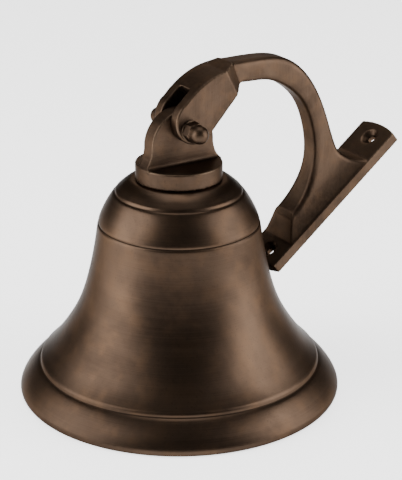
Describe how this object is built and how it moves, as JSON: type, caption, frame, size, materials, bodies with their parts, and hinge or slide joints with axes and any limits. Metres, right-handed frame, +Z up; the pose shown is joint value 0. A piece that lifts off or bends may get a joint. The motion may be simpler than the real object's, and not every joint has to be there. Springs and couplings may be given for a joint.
{
  "type": "ship bell",
  "caption": "Flared cast bell with a clapper, hung from a forked goose-neck bracket with a flat wall plate, brown patina finish",
  "frame": {"origin": "centre of the mouth, in the plane of the lip the bell stands on", "axes": "+Z up the bell's axis, +X from the bell towards the wall plate, Y along the pivot bolt; stored with the bracket leaning back on the bell"},
  "size_m": [0.2295, 0.178, 0.1832],
  "materials": {
    "bell_metal": "satin brown patina",
    "bolt_metal": "satin brown patina, worn domes",
    "hanger_brass": "satin, light patina",
    "clapper_metal": "satin brown patina"
  },
  "bodies": {
    "bell": {"bell_body": "bell_metal", "crown_lug": "bell_metal", "crown_stud": "hanger_brass", "crown_washer": "hanger_brass", "crown_nut": "hanger_brass"},
    "bracket": {"bracket": "bell_metal", "pivot_bolt": "bolt_metal", "pivot_acorn_nut": "bolt_metal", "pivot_washers": "bolt_metal"},
    "link": {"clapper_link": "hanger_brass"},
    "clapper": {"clapper_rod": "hanger_brass", "clapper_ball": "clapper_metal", "clapper_tail": "hanger_brass"}
  },
  "joints": [
    {"name": "bracket_swing", "type": "hinge", "parent": "bell", "child": "bracket", "pos_m": [0, 0, 0.1518], "axis": [0, -1, 0], "range_deg": [0, 117]},
    {"name": "link_swing", "type": "hinge", "parent": "bell", "child": "link", "pos_m": [0, 0, 0.0875], "axis": [0, 1, 0], "range_deg": [-38.5, 38.5]},
    {"name": "clapper_side_swing", "type": "hinge", "parent": "link", "child": "clapper", "pos_m": [0, 0, 0.0685], "axis": [1, 0, 0], "range_deg": [-12, 12]}
  ]
}
